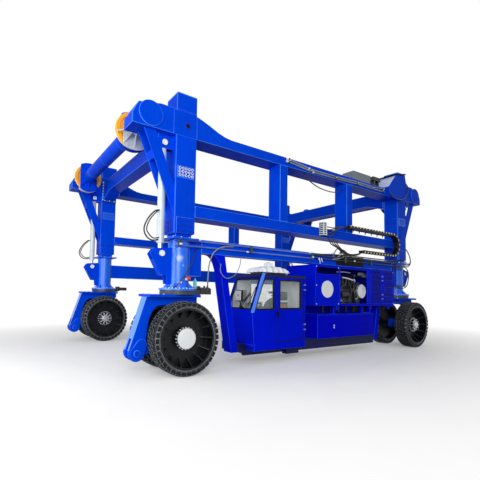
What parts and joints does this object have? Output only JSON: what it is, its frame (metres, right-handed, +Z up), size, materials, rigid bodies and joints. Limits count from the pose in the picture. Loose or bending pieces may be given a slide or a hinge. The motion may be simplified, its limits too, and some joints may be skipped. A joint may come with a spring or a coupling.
{
  "type": "rubber tyred gantry crane",
  "caption": "Low rubber tyred gantry crane with a lifting upper frame, rope sheaves, steered twin-wheel corners, cab and engine bay.",
  "frame": {"origin": "middle of the crane on the ground, under the centre of its box", "axes": "+X along the crane, -Y is the driver's side, +Z up"},
  "size_m": [10.25, 6.257, 5.4898],
  "materials": {
    "blue_paint": "glossy royal blue paint",
    "black_paint": "satin black paint",
    "tyre_rubber": "black lugged tyre",
    "rim_paint": "black rim",
    "clear_glass": "clear",
    "rod_steel": "polished rod",
    "barrel_paint": "pale grey primer",
    "sheave_paint": "glossy yellow paint",
    "chain_plastic": "black link plastic",
    "cabinet_paint": "grey powder coat",
    "engine_metal": "dark engine castings",
    "seat_cloth": "dark seat cloth",
    "trim_plastic": "dark dashboard plastic",
    "hinge_steel": "plain steel",
    "pad_plastic": "slide pad"
  },
  "bodies": {
    "chassis": {"round_columns": "blue_paint", "column_head_plates": "blue_paint", "slew_drives": "black_paint", "cylinder_brackets": "blue_paint", "masts": "blue_paint", "near_sill": "blue_paint", "far_sill": "blue_paint", "stub_boxes": "blue_paint", "drop_legs": "blue_paint", "platform": "blue_paint", "cylinder_rods": "rod_steel", "cab_shell": "blue_paint", "cab_glass": "clear_glass", "cab_seat": "seat_cloth", "cab_console": "trim_plastic", "cab_hinges": "hinge_steel", "engine_bay": "blue_paint", "engine_block": "engine_metal", "bay_hinge_pins": "hinge_steel", "tank": "blue_paint"},
    "upper_frame": {"sleeve_front_plates": "blue_paint", "sleeve_side_plates": "blue_paint", "sleeve_caps": "blue_paint", "wear_pads": "pad_plastic", "top_chords": "blue_paint", "chord_haunches": "blue_paint", "overhangs": "blue_paint", "bottom_chords": "blue_paint", "posts": "blue_paint", "crossbeams": "blue_paint", "struts": "blue_paint", "cylinder_barrels": "barrel_paint", "cylinder_lugs": "blue_paint", "end_covers": "blue_paint", "energy_chain": "chain_plastic", "chain_trough": "black_paint", "cabinet": "cabinet_paint", "head_guard": "blue_paint", "cross_tubes": "blue_paint", "hoist_hangers": "barrel_paint"},
    "cab_door": {"cab_door": "blue_paint", "door_glass": "clear_glass"},
    "engine_door": {"engine_door": "blue_paint"},
    "near_left_sheave": {"near_left_sheave": "sheave_paint"},
    "near_left_bogie": {"near_left_bogie": "blue_paint"},
    "near_left_wheels": {"near_left_tyres": "tyre_rubber", "near_left_rims": "rim_paint"},
    "near_right_sheave": {"near_right_sheave": "sheave_paint"},
    "near_right_bogie": {"near_right_bogie": "blue_paint"},
    "near_right_wheels": {"near_right_tyres": "tyre_rubber", "near_right_rims": "rim_paint"},
    "far_left_sheave": {"far_left_sheave": "sheave_paint"},
    "far_left_bogie": {"far_left_bogie": "blue_paint"},
    "far_left_wheels": {"far_left_tyres": "tyre_rubber", "far_left_rims": "rim_paint"},
    "far_right_sheave": {"far_right_sheave": "sheave_paint"},
    "far_right_bogie": {"far_right_bogie": "blue_paint"},
    "far_right_wheels": {"far_right_tyres": "tyre_rubber", "far_right_rims": "rim_paint"}
  },
  "joints": [
    {"name": "frame_lift", "type": "slide", "parent": "chassis", "child": "upper_frame", "axis": [0, 0, 1], "range_m": [0, 1.35]},
    {"name": "near_left_sheave_spin", "type": "hinge", "parent": "upper_frame", "child": "near_left_sheave", "pos_m": [-4.745, -1.84, 4.875], "axis": [0, 1, 0], "continuous": true},
    {"name": "near_left_steer", "type": "hinge", "parent": "chassis", "child": "near_left_bogie", "pos_m": [-3.96, -2.505, 1.49], "axis": [0, 0, 1], "range_deg": [-90, 90]},
    {"name": "near_left_roll", "type": "hinge", "parent": "near_left_bogie", "child": "near_left_wheels", "pos_m": [-4.04, -2.505, 0.685], "axis": [0, 1, 0], "continuous": true},
    {"name": "near_right_sheave_spin", "type": "hinge", "parent": "upper_frame", "child": "near_right_sheave", "pos_m": [4.745, -1.84, 4.875], "axis": [0, 1, 0], "continuous": true},
    {"name": "near_right_steer", "type": "hinge", "parent": "chassis", "child": "near_right_bogie", "pos_m": [3.96, -2.505, 1.49], "axis": [0, 0, 1], "range_deg": [-90, 90]},
    {"name": "near_right_roll", "type": "hinge", "parent": "near_right_bogie", "child": "near_right_wheels", "pos_m": [4.04, -2.505, 0.685], "axis": [0, 1, 0], "continuous": true},
    {"name": "far_left_sheave_spin", "type": "hinge", "parent": "upper_frame", "child": "far_left_sheave", "pos_m": [-4.745, 1.84, 4.875], "axis": [0, 1, 0], "continuous": true},
    {"name": "far_left_steer", "type": "hinge", "parent": "chassis", "child": "far_left_bogie", "pos_m": [-3.96, 2.505, 1.49], "axis": [0, 0, 1], "range_deg": [-90, 90]},
    {"name": "far_left_roll", "type": "hinge", "parent": "far_left_bogie", "child": "far_left_wheels", "pos_m": [-4.04, 2.505, 0.685], "axis": [0, 1, 0], "continuous": true},
    {"name": "far_right_sheave_spin", "type": "hinge", "parent": "upper_frame", "child": "far_right_sheave", "pos_m": [4.745, 1.84, 4.875], "axis": [0, 1, 0], "continuous": true},
    {"name": "far_right_steer", "type": "hinge", "parent": "chassis", "child": "far_right_bogie", "pos_m": [3.96, 2.505, 1.49], "axis": [0, 0, 1], "range_deg": [-90, 90]},
    {"name": "far_right_roll", "type": "hinge", "parent": "far_right_bogie", "child": "far_right_wheels", "pos_m": [4.04, 2.505, 0.685], "axis": [0, 1, 0], "continuous": true},
    {"name": "cab_door_hinge", "type": "hinge", "parent": "chassis", "child": "cab_door", "pos_m": [-0.764, -2.916, 1.2], "axis": [0, 0, 1], "range_deg": [0, 100]},
    {"name": "engine_door_hinge", "type": "hinge", "parent": "chassis", "child": "engine_door", "pos_m": [2.494, -2.924, 1.8], "axis": [0, 0, 1], "range_deg": [0, 110]}
  ]
}
